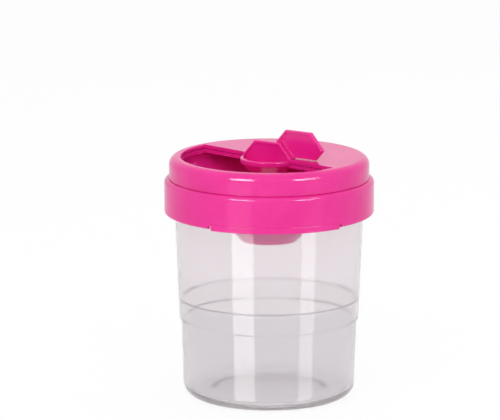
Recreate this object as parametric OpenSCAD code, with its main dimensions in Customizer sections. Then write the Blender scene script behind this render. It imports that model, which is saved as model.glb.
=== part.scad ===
// Brush washer with lid: a clear stepped cup under a two-tier snap lid.
// Inside the lid a funnel narrows to an open end, and a half-disc shutter
// under the deck is turned by a honeycomb grip to close the half-moon opening.
// Origin at the centre of the cup's base, +Z up, straight edge of the deck along X.

/* [Cup] */
// Height of the cup's mouth above its base
cup_h = 91.1; // [88:0.1:92]
// Outer radius of the cup at its mouth
cup_mouth_r = 40; // [39.5:0.1:40.2]
// Wall thickness of the cup
cup_wall = 1.2; // [1:0.1:1.4]
// Height of the outer step in the wall
step_z = 33.4; // [20:0.2:40]
// How far the step draws the wall in
step_in = 0.9; // [0.5:0.1:1.2]
// Height of the ledge inside the cup above the outer step
ledge_rise = 8.9; // [4:0.1:12]
// Outer radius of the wall just above the base corner
cup_base_r = 35.9; // [35:0.1:36.5]
// Outer radius of the rounded base corner
base_corner = 6; // [4:0.5:7]
// Outer radius of the snap ring below the mouth
snap_ring_r = 41.7; // [41:0.1:41.7]

/* [Collar] */
// Outer radius of the lower tier of the lid
collar_r = 43.9; // [43.8:0.1:46]
// Height of the collar from its lower edge to its top
collar_h = 14.8; // [13:0.2:16]
// Wall thickness of the collar
collar_wall = 1.5; // [1.3:0.1:1.5]
// Width of each snap tongue around the lower edge, in degrees
tongue_angle = 76; // [50:1:85]
// How far the tongue's lip stands out
tongue_lip = 0.35; // [0.2:0.05:0.5]

/* [Cap] */
// Outer radius of the upper tier of the lid
cap_r = 41.9; // [41.7:0.1:42]
// Height of the upper tier
cap_h = 9.2; // [9:0.1:10]
// Radius of the rounded shoulder
shoulder_r = 3.4; // [2.5:0.1:3.5]
// Radius of the opening inside the rim
rim_r = 37; // [36.5:0.1:37.5]
// Thickness of the deck
deck_t = 1.6; // [1.4:0.1:1.8]
// How far the deck reaches past the centre line
deck_past = 0.6; // [0.5:0.1:2]

/* [Funnel] */
// How far the funnel's lower end hangs below the deck
funnel_drop = 35.4; // [32:0.2:40]
// Outer radius of the funnel's lower end
spout_r = 11.4; // [10.5:0.1:14]
// Wall thickness of the funnel
funnel_wall = 1.2; // [1:0.1:1.4]

/* [Shutter] */
// Thickness of the shutter disc
shutter_t = 1.6; // [1.4:0.1:1.6]
// Outer radius of the hub that holds the grip
hub_r = 12.2; // [11.5:0.1:13]
// Wall thickness of the hub
hub_wall = 1.3; // [1.1:0.1:1.5]
// Depth of the hub's bowl from its lip to its underside
hub_depth = 6.8; // [6:0.1:7.5]
// Height of the upright band at the hub's lip
hub_lip = 2; // [1.6:0.1:2.4]

/* [Grip] */
// Length of one side of a honeycomb cell
cell_side = 12.5; // [11:0.1:12.6]
// Height of a honeycomb cell from its lower edge to its upper edge
cell_h = 14.2; // [12.4:0.2:14.6]
// Thickness of each honeycomb plate
plate_t = 2.2; // [1.8:0.1:2.6]
// Width of the raised border round each cell
cell_border = 1.1; // [0.9:0.1:1.6]
// Depth of the sunk panel in each cell
cell_sink = 0.4; // [0.3:0.1:0.6]
// Angle between the plates and the straight edge of the shutter
grip_turn = 9.5; // [0:0.5:12]

/* [Hidden] */
$fn = 128;

// Clearances: between pieces that move, between pieces that seat, and at the mouth
gap = 0.3;
seat_gap = 0.1;

// Heights worked out from the cup upwards
collar_top = cup_h + seat_gap + 1.6;
collar_low = collar_top - collar_h;
shelf_low = cup_h + seat_gap;
deck_top = collar_top + cap_h;
deck_low = deck_top - deck_t;
shutter_top = deck_low - gap;
shutter_low = shutter_top - shutter_t;
rim_seat = shutter_low - gap;
spout_low = deck_top - funnel_drop;
hub_top = deck_top - 0.6;
hub_low = hub_top - hub_depth;
lip_low = hub_top - hub_lip;

// Radii worked out from the walls
collar_in_r = collar_r - collar_wall;
cap_bore_r = cap_r - 1.6;
disc_r = cap_bore_r - 1.4;
disc_edge_r = rim_r - 0.6;
plug_r = cup_mouth_r - cup_wall - gap;
plug_in_r = plug_r - 1.2;
funnel_in_r = cap_bore_r - seat_gap - 2.6;

// Stop lug on the shutter and the sector it sweeps under the rim
lug_half = 4;
lug_gap = 0.5;
shutter_swing = 180;

// Snap tongues on the collar, centred on these directions
tongue_dirs = [-42.5, 137.5];
tongue_drop = 0.5;
tongue_h = 2.2;
notch_w = 1.6;
notch_h = 1.5;

// Honeycomb cells as [along, up, behind]: the second overlaps the first from behind
cell_half_h = cell_h / 2;
cell_low = [0, deck_top - 0.8, -1];
cell_high = [14.2, deck_top + 4.6, 1];
cell_chamfer = 0.4;
foot_t = 1.8;

function unit(v) = v / norm(v);

// Arc of radius r that rounds the corner b between a and c
function corner(a, b, c, r, n = 8) =
    let (
        u = unit(a - b),
        v = unit(c - b),
        half = acos(u * v) / 2,
        mid = b + unit(u + v) * r / sin(half),
        p = b + u * r / tan(half) - mid,
        q = b + v * r / tan(half) - mid,
        start = atan2(p.y, p.x),
        turn = (atan2(q.y, q.x) - start + 540) % 360 - 180
    )
    [for (i = [0:n]) mid + r * [cos(start + turn * i / n), sin(start + turn * i / n)]];

// Outline through points [x, y, radius], each corner rounded by its own radius
function rounded(path) =
    let (count = len(path), at = function (i) let (p = path[(i + count) % count]) [p.x, p.y])
    [for (i = [0:count - 1]) each path[i].z == 0 ? [at(i)] : corner(at(i - 1), at(i), at(i + 1), path[i].z)];

// Corners of one flat-topped honeycomb cell, drawn in by inset on every side
function cell_corners(inset) =
    let (
        slope = norm([cell_side / 2, cell_half_h]),
        h = cell_half_h - inset,
        side = inset * slope / cell_half_h,
        top = cell_side / 2 * h / cell_half_h
    )
    [
        [cell_side - side, 0],
        [cell_side - side - top, h],
        [-cell_side + side + top, h],
        [-cell_side + side, 0],
        [-cell_side + side + top, -h],
        [cell_side - side - top, -h]
    ];

// Bowl of the hub up to a given height, drawn in by inset, with a side that slopes 45 degrees
function bowl(inset, top) =
    let (
        shift = inset * tan(22.5),
        foot_r = hub_r - (lip_low - hub_low)
    )
    [
        [0, hub_low + inset, 0],
        [foot_r - shift, hub_low + inset, 2],
        [hub_r - inset, lip_low + shift, 0.9],
        [hub_r - inset, top, 0.6],
        [0, top, 0]
    ];

// Solid of revolution with rounded corners from points [radius, height, rounding]
module turned(path, angle = 360) {
    rotate_extrude(angle = angle)
        polygon(rounded(path));
}

// Part of a ring between two radii and two heights, centred on one direction
module ring_sector(r_in, r_out, z_low, z_high, direction, half) {
    rotate([0, 0, direction - half])
        turned([[r_in, z_low, 0], [r_out, z_low, 0], [r_out, z_high, 0], [r_in, z_high, 0]], 2 * half);
}

// Clear cup with a foot ring, a rounded base corner, a stepped wall, an inner ledge and a snap ring
module cup() {
    foot_z = 0.5;
    foot_in_r = 22;
    floor_z = 3;
    floor_corner = 3;
    ring_z = cup_h - 7.4;
    step_rise = 0.6;
    upper_r = cup_base_r + 0.8 + step_in;
    ledge_z = step_z + ledge_rise;
    ledge_r = upper_r + 0.3 - cup_wall;
    color("gainsboro", 0.5)
    turned([
        [0, foot_z, 0],
        [foot_in_r, foot_z, 2],
        [foot_in_r + 3, 0, 2],
        [cup_base_r, 0, base_corner],
        [cup_base_r + 0.8, step_z - step_rise, 0.3],
        [upper_r, step_z, 0.4],
        [cup_mouth_r - 0.3, ring_z, 0.4],
        [snap_ring_r, ring_z + 0.6, 0.5],
        [snap_ring_r, ring_z + 1.8, 0.5],
        [cup_mouth_r - 0.1, ring_z + 3.2, 0.4],
        [cup_mouth_r, cup_h, 0.4],
        [cup_mouth_r - cup_wall, cup_h, 0.4],
        [cup_mouth_r - cup_wall - 0.1, cup_h - 9, 0],
        [ledge_r, ledge_z, 0.3],
        [ledge_r - step_in, ledge_z - step_rise, 0.3],
        [cup_base_r - cup_wall - 0.2, floor_z, floor_corner],
        [0, floor_z, 0]
    ]);
}

// One snap tongue: a lip outside, a bead inside and a slightly lower edge
module tongue(direction) {
    bead = 0.4;
    rotate([0, 0, direction - tongue_angle / 2])
        turned([
            [collar_in_r - bead, collar_low + 0.3, 0.3],
            [collar_in_r - 0.1, collar_low - tongue_drop, 0.2],
            [collar_r + tongue_lip, collar_low - tongue_drop, 0.7],
            [collar_r + tongue_lip, collar_low + tongue_h, 0.25],
            [collar_r - 0.6, collar_low + tongue_h, 0],
            [collar_in_r + 0.3, collar_low + tongue_h, 0],
            [collar_in_r - bead, collar_low + tongue_h - 1, 0.3]
        ], tongue_angle);
}

// Notches that free the ends of a tongue
module tongue_notches(direction) {
    for (side = [-1, 1])
        rotate([0, 0, direction + side * tongue_angle / 2])
            translate([collar_in_r - 1, -notch_w / 2, collar_low - tongue_drop - 1])
                cube([collar_wall + 3, notch_w, notch_h + tongue_drop + 1]);
}

// Lower tier of the lid: skirt, shelf and plug ring that seals the cup's mouth
module collar() {
    edge_r = 0.8 * collar_wall;
    color("deeppink")
    difference() {
        union() {
            turned([
                [collar_in_r, collar_low, 0.2 * edge_r],
                [collar_r, collar_low, edge_r],
                [collar_r, collar_top, 1.8],
                [plug_in_r, collar_top, 0],
                [plug_in_r, shelf_low - 4, 0.3],
                [plug_r - 0.4, shelf_low - 4, 0.3],
                [plug_r, shelf_low - 2.5, 0.4],
                [plug_r, shelf_low, 0],
                [collar_in_r, shelf_low, 0]
            ]);
            for (direction = tongue_dirs)
                tongue(direction);
        }
        for (direction = tongue_dirs)
            tongue_notches(direction);
    }
}

// Half-round deck with the clearance hole for the hub
module deck() {
    translate([0, 0, deck_low])
        linear_extrude(deck_t)
            difference() {
                intersection() {
                    circle(r = rim_r + 1);
                    translate([-cap_r, -deck_past])
                        square([2 * cap_r, cap_r + deck_past]);
                }
                circle(r = hub_r + gap);
            }
}

// Upper tier of the lid: wall, rounded shoulder, rim, half deck and shutter stops
module cap() {
    swept = shutter_swing / 2 + lug_half + lug_gap;
    root = 0.4;
    color("hotpink")
    union() {
        turned([
            [cap_bore_r, collar_top, 0],
            [cap_r, collar_top, 0.3],
            [cap_r, deck_top, shoulder_r],
            [rim_r, deck_top, 0.5],
            [rim_r, deck_low, 0.3],
            [cap_bore_r, deck_low, 0]
        ]);
        ring_sector(disc_r + gap, cap_bore_r + root, rim_seat, deck_low + root, 180, 180 - swept);
        deck();
    }
}

// Funnel with a seating rim over one straight cone, open and rounded at its lower end
module funnel() {
    rim_out_r = cap_bore_r - seat_gap;
    cone_r = plug_in_r - gap;
    spout_in_r = spout_r - 1.35 * funnel_wall;
    color("palevioletred")
    turned([
        [rim_out_r, rim_seat, 0],
        [rim_out_r, collar_top, 0],
        [cone_r, collar_top, 0],
        [spout_r, spout_low, 0.7],
        [spout_in_r, spout_low, 0.5],
        [funnel_in_r, collar_top + 2.4, 1.5],
        [funnel_in_r, rim_seat, 0.4]
    ]);
}

// Flat outline of the shutter: rim ring, half disc, hub and stop lug
module shutter_outline() {
    edge_y = deck_past - 0.2;
    difference() {
        union() {
            circle(r = disc_r);
            intersection() {
                circle(r = cap_bore_r - gap);
                polygon([
                    [0, 0],
                    cap_r * [sin(-lug_half), -cos(lug_half)],
                    cap_r * [sin(lug_half), -cos(lug_half)]
                ]);
            }
        }
        intersection() {
            difference() {
                circle(r = disc_edge_r);
                circle(r = hub_r - 2);
            }
            translate([-cap_r, -2 * cap_r - edge_y])
                square([2 * cap_r, 2 * cap_r]);
        }
    }
}

// Turning shutter: a half disc in a guide ring, with an open bowl as the hub for the grip
module shutter() {
    color("mediumvioletred")
    difference() {
        union() {
            translate([0, 0, shutter_low])
                linear_extrude(shutter_t)
                    shutter_outline();
            turned(bowl(0, hub_top));
        }
        turned(bowl(hub_wall, hub_top + 2));
    }
}

// Outline of one cell drawn in by inset, in its place on the plate's plane
module cell_outline(cell, inset) {
    translate([cell.x, cell.y])
        polygon(cell_corners(inset));
}

// One plate with chamfered edges, standing in the XZ plane
module cell_plate(cell) {
    translate([0, cell.z, 0])
        rotate([90, 0, 0])
            hull() {
                linear_extrude(plate_t - 2 * cell_chamfer, center = true)
                    cell_outline(cell, 0);
                linear_extrude(plate_t, center = true)
                    cell_outline(cell, cell_chamfer);
            }
}

// Sunk panels on both faces of one cell, kept clear of the plate that covers part of it
module cell_panels(cell, cover) {
    for (side = [-1, 1])
        translate([0, cell.z + side * plate_t / 2, 0])
            rotate([90, 0, 0])
                linear_extrude(2 * cell_sink, center = true)
                    difference() {
                        cell_outline(cell, cell_border);
                        if (side * cell.z < 0)
                            cell_outline(cover, -cell_border);
                    }
}

// Space the plates may fill: the hub's bowl and everything clear of the deck
module grip_space() {
    turned(bowl(hub_wall + seat_gap, deck_top + 1));
    translate([0, 0, hub_top + seat_gap])
        cylinder(r = hub_r, h = 1);
    translate([-3 * cell_side, -2 * plate_t, deck_top + 0.4])
        cube([6 * cell_side, 4 * plate_t, 2 * cell_h]);
}

// Finger grip: two overlapping honeycomb plates on a round foot that seats in the hub
module grip() {
    color("crimson")
    rotate([0, 0, grip_turn])
        intersection() {
            grip_space();
            union() {
                difference() {
                    cell_plate(cell_low);
                    cell_panels(cell_low, cell_high);
                }
                difference() {
                    cell_plate(cell_high);
                    cell_panels(cell_high, cell_low);
                }
                cylinder(r = hub_r, h = hub_low + hub_wall + seat_gap + foot_t);
            }
        }
}

cup();
collar();
cap();
funnel();
shutter();
grip();
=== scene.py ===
import logging
import math
from dataclasses import dataclass
from enum import Enum
from typing import Sequence

import bmesh
import bpy
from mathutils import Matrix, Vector


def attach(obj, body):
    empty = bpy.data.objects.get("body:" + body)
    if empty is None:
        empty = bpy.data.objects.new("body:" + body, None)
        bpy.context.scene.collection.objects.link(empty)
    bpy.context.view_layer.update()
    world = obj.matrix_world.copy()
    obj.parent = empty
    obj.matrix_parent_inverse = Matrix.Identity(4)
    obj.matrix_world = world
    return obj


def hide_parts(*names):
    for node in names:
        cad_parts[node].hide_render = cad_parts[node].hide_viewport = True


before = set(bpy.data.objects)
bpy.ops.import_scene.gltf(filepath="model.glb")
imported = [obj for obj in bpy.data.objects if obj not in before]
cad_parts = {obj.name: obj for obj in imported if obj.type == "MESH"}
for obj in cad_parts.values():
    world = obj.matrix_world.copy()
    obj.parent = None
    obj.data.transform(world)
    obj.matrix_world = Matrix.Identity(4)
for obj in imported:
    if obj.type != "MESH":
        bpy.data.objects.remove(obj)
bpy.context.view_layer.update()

LOG = logging.getLogger("brush_washer")
MM = 0.001
WELD = 2e-6
EDGE_SAMPLES = 6
WHITE = (1.0, 1.0, 1.0, 1.0)

Point = tuple[float, float]
Corner = tuple[float, float, float]
Colour = tuple[float, float, float]
Stretch = tuple[float, float, float]


class Body(Enum):
    """The bodies of the frame that pieces ride on."""

    CUP = "cup"
    LID = "lid"
    SHUTTER = "shutter"


class Slot(Enum):
    """The material slots that the record names."""

    CLEAR = "clear_plastic"
    PINK = "pink_plastic"


def rounded_outline(corners: Sequence[Corner], steps: int = 8) -> list[Point]:
    """Round each corner of a closed outline by its own radius.

    Args:
        corners: The outline's corners as x, y and rounding radius, in millimetres.
        steps: Straight pieces in each rounded corner.

    Returns:
        The points of the rounded outline, in millimetres.
    """
    points: list[Point] = []
    for index, (x, y, radius) in enumerate(corners):
        here = Vector((x, y))
        if radius == 0:
            points.append((x, y))
            continue
        before = (Vector(corners[index - 1][:2]) - here).normalized()
        after = (Vector(corners[(index + 1) % len(corners)][:2]) - here).normalized()
        half = before.angle(after) / 2
        middle = here + (before + after).normalized() * radius / math.sin(half)
        reach = radius / math.tan(half)
        first = here + before * reach - middle
        last = here + after * reach - middle
        start = math.atan2(first.y, first.x)
        # The shorter way round, between -180 and 180 degrees.
        turn = (math.atan2(last.y, last.x) - start + 3 * math.pi) % (2 * math.pi) - math.pi
        for step in range(steps + 1):
            angle = start + turn * step / steps
            point = middle + radius * Vector((math.cos(angle), math.sin(angle)))
            points.append((point.x, point.y))
    return points


def select_only(piece: bpy.types.Object) -> None:
    """Select one object, make it active and leave everything else unselected.

    Args:
        piece: The object to work on next.
    """
    bpy.ops.object.select_all(action="DESELECT")
    piece.select_set(True)
    bpy.context.view_layer.objects.active = piece


def smooth(piece: bpy.types.Object, degrees: float = 28.0) -> None:
    """Shade a piece smooth over edges flatter than an angle."""
    select_only(piece)
    bpy.ops.object.shade_smooth_by_angle(angle=math.radians(degrees))


def select_ends(wire: bpy.types.Object) -> None:
    """Select the two loose ends of an open wire.

    Args:
        wire: The object in edit mode that holds the wire.
    """
    bpy.ops.mesh.select_all(action="DESELECT")
    shape = bmesh.from_edit_mesh(wire.data)
    for vertex in shape.verts:
        if len(vertex.link_edges) < 2:
            vertex.select_set(True)
    shape.select_flush(True)
    bmesh.update_edit_mesh(wire.data)


def turned(name: str, corners: Sequence[Corner], steps: int) -> bpy.types.Object:
    """Spin a rounded outline about the Z axis, as on a lathe.

    Args:
        name: Name of the new object.
        corners: Outline as radius, height and rounding, in millimetres.
        steps: Sections in the whole turn.

    Returns:
        The closed, smooth object.
    """
    outline = [Vector((x * MM, 0.0, y * MM)) for x, y in rounded_outline(corners)]
    bpy.ops.object.select_all(action="DESELECT")
    bpy.ops.mesh.primitive_plane_add(size=MM, location=outline[0])
    piece = bpy.context.active_object
    piece.name = name
    bpy.ops.object.transform_apply(location=True, rotation=True, scale=True)
    bpy.ops.object.mode_set(mode="EDIT")
    bpy.ops.mesh.merge(type="CENTER")
    for here, there in zip(outline, outline[1:]):
        bpy.ops.mesh.extrude_region_move(TRANSFORM_OT_translate={"value": there - here})
    select_ends(piece)
    bpy.ops.mesh.edge_face_add()
    bpy.ops.mesh.select_all(action="SELECT")
    bpy.ops.mesh.spin(steps=steps, angle=math.tau, center=(0, 0, 0), axis=(0, 0, 1))
    bpy.ops.mesh.select_all(action="SELECT")
    bpy.ops.mesh.remove_doubles(threshold=WELD)
    bpy.ops.mesh.normals_make_consistent(inside=False)
    bpy.ops.object.mode_set(mode="OBJECT")
    smooth(piece)
    return piece


@dataclass(frozen=True)
class Finish:
    """A procedural finish, built once as a node material."""

    name: str

    def start(self) -> tuple[bpy.types.Material, bpy.types.NodeTree, bpy.types.Node]:
        """Make the empty material.

        Returns:
            The material, its node tree and its main shader.
        """
        material = bpy.data.materials.new(self.name)
        material.use_nodes = True
        tree = material.node_tree
        return material, tree, tree.nodes["Principled BSDF"]

    @staticmethod
    def noise(tree: bpy.types.NodeTree, scale: float, detail: float = 3.0,
              stretch: Stretch = (1.0, 1.0, 1.0)) -> bpy.types.NodeSocket:
        """Add noise that sits on the object and not on the view.

        Args:
            tree: The material's nodes.
            scale: Features per metre.
            detail: Octaves of the noise.
            stretch: Scale along each axis.

        Returns:
            The noise's factor socket.
        """
        place = tree.nodes.new("ShaderNodeTexCoord")
        mapping = tree.nodes.new("ShaderNodeMapping")
        mapping.inputs["Scale"].default_value = stretch
        grain = tree.nodes.new("ShaderNodeTexNoise")
        grain.inputs["Scale"].default_value = scale
        grain.inputs["Detail"].default_value = detail
        tree.links.new(place.outputs["Object"], mapping.inputs["Vector"])
        tree.links.new(mapping.outputs["Vector"], grain.inputs["Vector"])
        return grain.outputs["Fac"]

    @staticmethod
    def ramp(tree: bpy.types.NodeTree, value: bpy.types.NodeSocket,
             stops: Sequence[tuple[float, Colour]]) -> bpy.types.NodeSocket:
        """Turn a value into a colour through a ramp.

        Args:
            tree: The material's nodes.
            value: The socket that drives the ramp.
            stops: Positions and colours, from low to high.

        Returns:
            The colour socket.
        """
        node = tree.nodes.new("ShaderNodeValToRGB")
        elements = node.color_ramp.elements
        while len(elements) < len(stops):
            elements.new(0.5)
        for element, (position, colour) in zip(elements, stops):
            element.position = position
            element.color = (*colour, 1.0)
        tree.links.new(value, node.inputs["Fac"])
        return node.outputs["Color"]

    @staticmethod
    def spread(tree: bpy.types.NodeTree, value: bpy.types.NodeSocket, low: float,
               high: float) -> bpy.types.NodeSocket:
        """Map a value from 0..1 onto another range.

        Args:
            tree: The material's nodes.
            value: The socket to map.
            low: Result at 0.
            high: Result at 1.

        Returns:
            The mapped socket.
        """
        node = tree.nodes.new("ShaderNodeMapRange")
        node.inputs["To Min"].default_value = low
        node.inputs["To Max"].default_value = high
        tree.links.new(value, node.inputs["Value"])
        return node.outputs["Result"]

    @staticmethod
    def bump(tree: bpy.types.NodeTree, shader: bpy.types.Node,
             layers: Sequence[tuple[bpy.types.NodeSocket, float]], soften: float = 0.0) -> None:
        """Stack height layers into the shader's normal.

        Args:
            tree: The material's nodes.
            shader: The shader that takes the normal.
            layers: Height sockets and their depths in metres.
            soften: Radius in metres over which sharp edges catch the light.
        """
        normal = None
        if soften:
            edge = tree.nodes.new("ShaderNodeBevel")
            edge.samples = EDGE_SAMPLES
            edge.inputs["Radius"].default_value = soften
            normal = edge.outputs["Normal"]
        for height, depth in layers:
            node = tree.nodes.new("ShaderNodeBump")
            node.inputs["Distance"].default_value = depth
            tree.links.new(height, node.inputs["Height"])
            if normal is not None:
                tree.links.new(normal, node.inputs["Normal"])
            normal = node.outputs["Normal"]
        tree.links.new(normal, shader.inputs["Normal"])


@dataclass(frozen=True)
class PinkPlastic(Finish):
    """Glossy pink polypropylene with a faint moulding grain, wipe marks and softened edges."""

    deep: Colour = (0.83, 0.012, 0.285)
    fresh: Colour = (0.88, 0.022, 0.325)
    pale: Colour = (0.90, 0.036, 0.360)
    stops: tuple[float, float, float] = (0.3, 0.6, 0.8)
    clouds_per_m: float = 70.0
    smears_per_m: float = 160.0
    smear_stretch: Stretch = (1.0, 1.0, 0.25)
    roughness: Point = (0.07, 0.14)
    waves_per_m: float = 55.0
    wave_depth: float = 0.00012
    grain_per_m: float = 2600.0
    grain_depth: float = 0.000012
    edge: float = 0.0001
    ior: float = 1.49
    glow: Colour = (0.96, 0.120, 0.500)
    glow_share: float = 0.16

    def build(self) -> bpy.types.Material:
        """Build the material.

        Returns:
            The finished material.
        """
        material, tree, shader = self.start()
        clouds = self.noise(tree, self.clouds_per_m)
        colour = self.ramp(tree, clouds, list(zip(self.stops, (self.deep, self.fresh, self.pale))))
        tree.links.new(colour, shader.inputs["Base Color"])
        smears = self.noise(tree, self.smears_per_m, stretch=self.smear_stretch)
        tree.links.new(self.spread(tree, smears, *self.roughness), shader.inputs["Roughness"])
        waves = self.noise(tree, self.waves_per_m, detail=1.0)
        grain = self.noise(tree, self.grain_per_m)
        layers = [(waves, self.wave_depth), (grain, self.grain_depth)]
        self.bump(tree, shader, layers, soften=self.edge)
        shader.inputs["IOR"].default_value = self.ior
        veil = tree.nodes.new("ShaderNodeBsdfTranslucent")
        veil.inputs["Color"].default_value = (*self.glow, 1.0)
        blend = tree.nodes.new("ShaderNodeMixShader")
        blend.inputs["Fac"].default_value = self.glow_share
        tree.links.new(shader.outputs["BSDF"], blend.inputs[1])
        tree.links.new(veil.outputs["BSDF"], blend.inputs[2])
        tree.links.new(blend.outputs["Shader"], tree.nodes["Material Output"].inputs["Surface"])
        return material


@dataclass(frozen=True)
class ClearPlastic(Finish):
    """Clear polypropylene with a faint haze, fine wipe marks and a greyish cast.

    Heights are in metres: the greyer cast fades out over the ledge's pair, the painted highlight's
    pair is the middle and half the width of its band on the inner ledge, and the haze of the foot
    fades out over the base's pair.
    """

    tint: Colour = (0.945, 0.915, 0.930)
    streak_gain: float = 1.03
    streak_stops: Point = (0.2, 0.8)
    streaks_per_m: float = 90.0
    streak_stretch: Stretch = (1.0, 1.0, 0.12)
    low_tint: Colour = (0.862, 0.846, 0.858)
    ledge: Point = (0.0400, 0.0435)
    marks_per_m: float = 240.0
    mark_stretch: Stretch = (1.0, 1.0, 0.4)
    roughness: Point = (0.06, 0.13)
    waves_per_m: float = 45.0
    wave_stretch: Stretch = (1.0, 1.0, 0.3)
    wave_depth: float = 0.00010
    ior: float = 1.40
    haze: Colour = (0.90, 0.86, 0.89)
    haze_share: float = 0.11
    # Painted highlight: a band on the inner ledge where the haze takes a larger share, standing in
    # for the bright line of light there.
    painted_highlight_line: Point = (0.0419, 0.00045)
    painted_highlight_share: float = 0.35
    base: Point = (0.0030, 0.0110)
    base_share: float = 0.16

    def cast(self, tree: bpy.types.NodeTree,
             height: bpy.types.NodeSocket) -> bpy.types.NodeSocket:
        """Tint the wall in faint streaks, and greyer below the inner ledge.

        Args:
            tree: The material's nodes.
            height: Height on the object, in metres.

        Returns:
            The colour socket.
        """
        streaks = self.noise(tree, self.streaks_per_m, stretch=self.streak_stretch)
        bright = tuple(min(1.0, channel * self.streak_gain) for channel in self.tint)
        upper = self.ramp(tree, streaks, list(zip(self.streak_stops, (self.tint, bright))))
        above = tree.nodes.new("ShaderNodeMapRange")
        above.inputs["From Min"].default_value, above.inputs["From Max"].default_value = self.ledge
        tree.links.new(height, above.inputs["Value"])
        tint = tree.nodes.new("ShaderNodeMix")
        tint.data_type = "RGBA"
        tint.inputs["A"].default_value = (*self.low_tint, 1.0)
        tree.links.new(above.outputs["Result"], tint.inputs["Factor"])
        tree.links.new(upper, tint.inputs["B"])
        return tint.outputs["Result"]

    def veil(self, tree: bpy.types.NodeTree) -> bpy.types.NodeSocket:
        """Make the milky haze, half in front of the light and half behind it. On the inner ledge it
        also paints a highlight.

        Args:
            tree: The material's nodes.

        Returns:
            The shader socket.
        """
        behind = tree.nodes.new("ShaderNodeBsdfTranslucent")
        behind.inputs["Color"].default_value = (*self.haze, 1.0)
        front = tree.nodes.new("ShaderNodeBsdfDiffuse")
        front.inputs["Color"].default_value = (*self.haze, 1.0)
        both = tree.nodes.new("ShaderNodeMixShader")
        tree.links.new(front.outputs["BSDF"], both.inputs[1])
        tree.links.new(behind.outputs["BSDF"], both.inputs[2])
        return both.outputs["Shader"]

    def veil_share(self, tree: bpy.types.NodeTree,
                   height: bpy.types.NodeSocket) -> bpy.types.NodeSocket:
        """Thicken the haze towards the foot, and on the inner ledge, where a band of thicker,
        lighter haze is a painted highlight.

        Args:
            tree: The material's nodes.
            height: Height on the object, in metres.

        Returns:
            The haze's share of the surface, from 0 to 1.
        """
        # Painted highlight: the band on the inner ledge gets the larger haze share.
        painted_highlight_line = tree.nodes.new("ShaderNodeMath")
        painted_highlight_line.operation = "COMPARE"
        painted_highlight_line.inputs[1].default_value, painted_highlight_line.inputs[2].default_value = self.painted_highlight_line
        tree.links.new(height, painted_highlight_line.inputs[0])
        foot = tree.nodes.new("ShaderNodeMapRange")
        foot.inputs["From Min"].default_value, foot.inputs["From Max"].default_value = self.base
        foot.inputs["To Min"].default_value = self.base_share
        foot.inputs["To Max"].default_value = 0.0
        tree.links.new(height, foot.inputs["Value"])
        share = tree.nodes.new("ShaderNodeMath")
        share.operation = "MAXIMUM"
        ledge = self.spread(tree, painted_highlight_line.outputs["Value"], self.haze_share, self.painted_highlight_share)
        tree.links.new(ledge, share.inputs[0])
        tree.links.new(foot.outputs["Result"], share.inputs[1])
        return share.outputs["Value"]

    def build(self) -> bpy.types.Material:
        """Build the material.

        Returns:
            The finished material.
        """
        material, tree, shader = self.start()
        shader.inputs["Transmission Weight"].default_value = 1.0
        shader.inputs["IOR"].default_value = self.ior
        place = tree.nodes.new("ShaderNodeTexCoord")
        split = tree.nodes.new("ShaderNodeSeparateXYZ")
        tree.links.new(place.outputs["Object"], split.inputs["Vector"])
        height = split.outputs["Z"]
        tree.links.new(self.cast(tree, height), shader.inputs["Base Color"])
        marks = self.noise(tree, self.marks_per_m, stretch=self.mark_stretch)
        tree.links.new(self.spread(tree, marks, *self.roughness), shader.inputs["Roughness"])
        waves = self.noise(tree, self.waves_per_m, detail=1.0, stretch=self.wave_stretch)
        self.bump(tree, shader, [(waves, self.wave_depth)])
        cloud = tree.nodes.new("ShaderNodeMixShader")
        tree.links.new(self.veil_share(tree, height), cloud.inputs["Fac"])
        tree.links.new(shader.outputs["BSDF"], cloud.inputs[1])
        tree.links.new(self.veil(tree), cloud.inputs[2])
        tree.links.new(cloud.outputs["Shader"], tree.nodes["Material Output"].inputs["Surface"])
        return material


@dataclass(frozen=True)
class WhiteFloor(Finish):
    """White floor that keeps a soft shadow and shows plain white to the camera."""

    base: Colour = (0.95, 0.95, 0.95)
    roughness: float = 0.9
    white_share: float = 0.90

    def build(self) -> bpy.types.Material:
        """Build the material.

        Returns:
            The finished material.
        """
        material, tree, shader = self.start()
        shader.inputs["Base Color"].default_value = (*self.base, 1.0)
        shader.inputs["Roughness"].default_value = self.roughness
        glow = tree.nodes.new("ShaderNodeEmission")
        glow.inputs["Color"].default_value = WHITE
        seen = add_seen_ray(tree)
        share = tree.nodes.new("ShaderNodeMath")
        share.operation = "MULTIPLY"
        share.inputs[1].default_value = self.white_share
        tree.links.new(seen, share.inputs[0])
        mix = tree.nodes.new("ShaderNodeMixShader")
        tree.links.new(share.outputs["Value"], mix.inputs["Fac"])
        tree.links.new(shader.outputs["BSDF"], mix.inputs[1])
        tree.links.new(glow.outputs["Emission"], mix.inputs[2])
        tree.links.new(mix.outputs["Shader"], tree.nodes["Material Output"].inputs["Surface"])
        return material


def add_seen_ray(tree: bpy.types.NodeTree) -> bpy.types.NodeSocket:
    """Add a test for camera, glossy and transmission rays.

    Args:
        tree: The nodes of a material or of the world.

    Returns:
        A socket that is 1 for those rays and 0 for the rest.
    """
    path = tree.nodes.new("ShaderNodeLightPath")
    result = path.outputs["Is Camera Ray"]
    for name in ("Is Glossy Ray", "Is Transmission Ray"):
        larger = tree.nodes.new("ShaderNodeMath")
        larger.operation = "MAXIMUM"
        tree.links.new(result, larger.inputs[0])
        tree.links.new(path.outputs[name], larger.inputs[1])
        result = larger.outputs["Value"]
    return result


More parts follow.
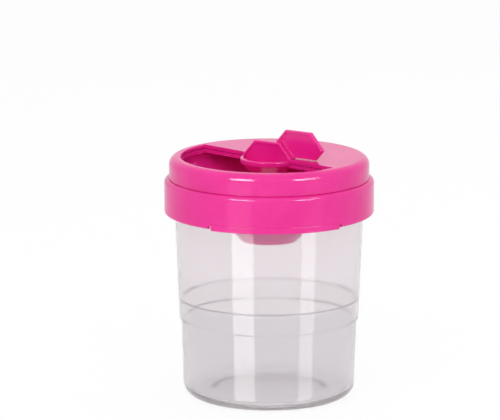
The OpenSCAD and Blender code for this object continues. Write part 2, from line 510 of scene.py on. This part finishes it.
@dataclass
class Part:
    """What every sub-assembly shares: its body, its slot and its finish."""

    body: Body
    slot: Slot
    finish: bpy.types.Material

    def dress(self, node: str) -> None:
        """Give a node of the frame its finish.

        Args:
            node: The node's name.
        """
        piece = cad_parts[node]
        piece.data.materials.clear()
        piece.data.materials.append(self.finish)
        LOG.info("%s dressed on %s", node, self.body.value)

    def stand_for(self, piece: bpy.types.Object, node: str) -> None:
        """Finish a new piece and let it stand for a node of the frame.

        Args:
            piece: The new object.
            node: The node that it replaces.
        """
        piece.data.materials.clear()
        piece.data.materials.append(self.finish)
        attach(piece, self.body.value)
        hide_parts(node)
        LOG.info("%s stands for %s on %s", piece.name, node, self.body.value)


@dataclass
class Cup(Part):
    """The clear cup, turned in one piece. Sizes are in millimetres."""

    mouth_r: float = 40.0
    height: float = 91.1
    wall: float = 1.2
    draft: float = 0.1
    seal_depth: float = 9.0
    rim_round: float = 0.4
    base_r: float = 35.9
    base_round: float = 6.0
    foot_ring: Point = (22.0, 25.0)
    foot_rise: float = 0.5
    foot_round: float = 2.0
    floor_z: float = 3.0
    floor_round: float = 3.0
    flare: float = 0.8
    step_z: float = 33.4
    step_in: float = 0.9
    step_slope: float = 0.6
    step_round: float = 0.3
    ledge_rise: float = 8.9
    snap_ring_r: float = 41.7
    snap_drop: float = 7.4
    snap_rises: tuple[float, float, float] = (0.6, 1.8, 3.2)
    snap_round: float = 0.5
    neck_in: float = 0.3
    spin_steps: int = 256

    def outline(self) -> list[Corner]:
        """Outline of the wall from the underside, up outside and down inside.

        Returns:
            Corners as radius, height and rounding.
        """
        foot_in, foot_out = self.foot_ring
        lower_r = self.base_r + self.flare
        upper_r = lower_r + self.step_in
        ring_z = self.height - self.snap_drop
        ring_low, ring_high, ring_end = (ring_z + rise for rise in self.snap_rises)
        ledge_z = self.step_z + self.ledge_rise
        ledge_r = upper_r + self.neck_in - self.wall
        inner_r = self.mouth_r - self.wall
        return [
            (0.0, self.foot_rise, 0.0),
            (foot_in, self.foot_rise, self.foot_round),
            (foot_out, 0.0, self.foot_round),
            (self.base_r, 0.0, self.base_round),
            (lower_r, self.step_z - self.step_slope, self.step_round),
            (upper_r, self.step_z, self.rim_round),
            (self.mouth_r - self.neck_in, ring_z, self.rim_round),
            (self.snap_ring_r, ring_low, self.snap_round),
            (self.snap_ring_r, ring_high, self.snap_round),
            (self.mouth_r - self.draft, ring_end, self.rim_round),
            (self.mouth_r, self.height, self.rim_round),
            (inner_r, self.height, self.rim_round),
            (inner_r - self.draft, self.height - self.seal_depth, 0.0),
            (ledge_r, ledge_z, self.step_round),
            (ledge_r - self.step_in, ledge_z - self.step_slope, self.step_round),
            (self.base_r - self.wall - 2 * self.draft, self.floor_z, self.floor_round),
            (0.0, self.floor_z, 0.0),
        ]

    def build(self) -> None:
        """Turn the cup and let it stand for its node."""
        self.stand_for(turned("clear_cup", self.outline(), self.spin_steps), "cup")


@dataclass
class Lid(Part):
    """The fixed part of the lid: collar, cap and funnel."""

    nodes: tuple[str, ...] = ("collar", "cap", "funnel")

    def build(self) -> None:
        """Dress the lid's nodes."""
        for node in self.nodes:
            self.dress(node)


@dataclass
class Shutter(Part):
    """The turning shutter with its honeycomb grip."""

    nodes: tuple[str, ...] = ("shutter", "grip")

    def build(self) -> None:
        """Dress the shutter's nodes."""
        for node in self.nodes:
            self.dress(node)


class Role(Enum):
    """What a soft light is there for."""

    FILL = "lights the object"
    SHINE = "shows as a highlight"


@dataclass(frozen=True)
class Softbox:
    """One soft light. Its direction, relative to the camera's, and its span are in degrees."""

    name: str
    azimuth: float
    elevation: float
    span: Point
    radiance: float
    role: Role = Role.SHINE


SOFTBOXES = (
    Softbox("fill_front", -5.0, 38.0, (52.0, 46.0), 1.65, Role.FILL),
    Softbox("fill_top", 150.0, 65.0, (48.0, 48.0), 0.8, Role.FILL),
    Softbox("shine_left", -32.0, 30.0, (24.0, 17.0), 20.0),
    Softbox("shine_right", 44.0, 30.0, (26.0, 17.0), 18.0),
    Softbox("strip_left", -33.0, -8.0, (26.0, 16.0), 0.7),
    Softbox("strip_right", 50.0, -8.0, (18.0, 16.0), 0.3),
    Softbox("low_left", -33.0, -26.0, (26.0, 21.0), 8.3),
    Softbox("low_right", 50.0, -26.0, (18.0, 21.0), 5.5),
)


@dataclass
class Studio:
    """Floor, soft lights, white surroundings and the camera at the photograph's angle.

    Lengths are in metres unless their name says otherwise, and angles in degrees.
    """

    azimuth: float = 43.5
    elevation: float = 12.5
    distance: float = 1.89
    focal_px: float = 4500.0
    image_width_px: float = 500.0
    sensor_mm: float = 36.0
    clip: Point = (0.01, 50.0)
    axis_offset: float = 0.0080
    aim_height: float = 0.0788
    middle_height: float = 0.05
    light_distance: float = 0.9
    world_level: float = 0.74
    floor_size: float = 8.0
    floor_drop: float = 0.0001

    def place(self, azimuth: float, elevation: float, distance: float) -> Vector:
        """Find a point round the object's middle.

        Args:
            azimuth: Direction in degrees, 0 on the -Y side.
            elevation: Degrees above the horizon.
            distance: Metres from the middle.

        Returns:
            The point.
        """
        turn, rise = math.radians(azimuth), math.radians(elevation)
        flat = math.cos(rise)
        away = Vector((math.sin(turn) * flat, -math.cos(turn) * flat, math.sin(rise)))
        return Vector((0.0, 0.0, self.middle_height)) + away * distance

    @staticmethod
    def aim(holder: bpy.types.Object, target: Vector) -> None:
        """Turn a lamp or the camera towards a point."""
        holder.rotation_euler = (target - holder.location).to_track_quat("-Z", "Y").to_euler()

    def floor(self) -> None:
        """Lay the floor under the object."""
        bpy.ops.object.select_all(action="DESELECT")
        bpy.ops.mesh.primitive_plane_add(size=self.floor_size, location=(0, 0, -self.floor_drop))
        plane = bpy.context.active_object
        plane.name = "floor"
        plane.data.materials.append(WhiteFloor("white_floor").build())
        plane.visible_glossy = False

    def hang(self, box: Softbox) -> None:
        """Hang one soft light, aimed at the object.

        Args:
            box: The light's direction, size and brightness, where 1 is plain white.
        """
        lamp = bpy.data.lights.new(box.name, "AREA")
        lamp.shape = "RECTANGLE"
        lamp.size, lamp.size_y = (
            2 * self.light_distance * math.tan(math.radians(angle / 2)) for angle in box.span)
        lamp.energy = box.radiance * math.pi * lamp.size * lamp.size_y
        holder = bpy.data.objects.new(box.name, lamp)
        holder.visible_camera = False
        holder.visible_transmission = False
        holder.visible_diffuse = box.role is Role.FILL
        holder.visible_glossy = box.role is Role.SHINE
        bpy.context.scene.collection.objects.link(holder)
        holder.location = self.place(self.azimuth + box.azimuth, box.elevation, self.light_distance)
        self.aim(holder, Vector((0.0, 0.0, self.middle_height)))

    def world(self) -> None:
        """Surround the object with white for the eye and soft grey for the light."""
        world = bpy.data.worlds.new("studio")
        bpy.context.scene.world = world
        world.use_nodes = True
        tree = world.node_tree
        back = tree.nodes["Background"]
        back.inputs["Color"].default_value = WHITE
        level = tree.nodes.new("ShaderNodeMapRange")
        level.inputs["To Min"].default_value = self.world_level
        level.inputs["To Max"].default_value = 1.0
        tree.links.new(add_seen_ray(tree), level.inputs["Value"])
        tree.links.new(level.outputs["Result"], back.inputs["Strength"])

    def camera(self) -> None:
        """Put the camera where the photograph was taken from."""
        lens = bpy.data.cameras.new("camera")
        lens.sensor_width = self.sensor_mm
        lens.lens = self.focal_px * self.sensor_mm / self.image_width_px
        lens.clip_start, lens.clip_end = self.clip
        eye = bpy.data.objects.new("camera", lens)
        bpy.context.scene.collection.objects.link(eye)
        eye.location = self.place(self.azimuth, self.elevation, self.distance)
        turn = math.radians(self.azimuth)
        right = Vector((math.cos(turn), math.sin(turn), 0.0))
        self.aim(eye, Vector((0.0, 0.0, self.aim_height)) - right * self.axis_offset)
        bpy.context.scene.camera = eye

    def build(self) -> None:
        """Set up the whole studio."""
        bpy.context.scene.view_settings.view_transform = "Standard"
        self.floor()
        self.world()
        for box in SOFTBOXES:
            self.hang(box)
        self.camera()


def main() -> None:
    """Build the studio and dress every sub-assembly in order."""
    logging.basicConfig(level=logging.INFO, format="%(name)s: %(message)s")
    Studio().build()
    pink = PinkPlastic("pink_plastic").build()
    clear = ClearPlastic("clear_plastic").build()
    for part in (Cup(Body.CUP, Slot.CLEAR, clear), Lid(Body.LID, Slot.PINK, pink),
                 Shutter(Body.SHUTTER, Slot.PINK, pink)):
        part.build()
        LOG.info("built %s", type(part).__name__)


if __name__ == "__main__":
    main()
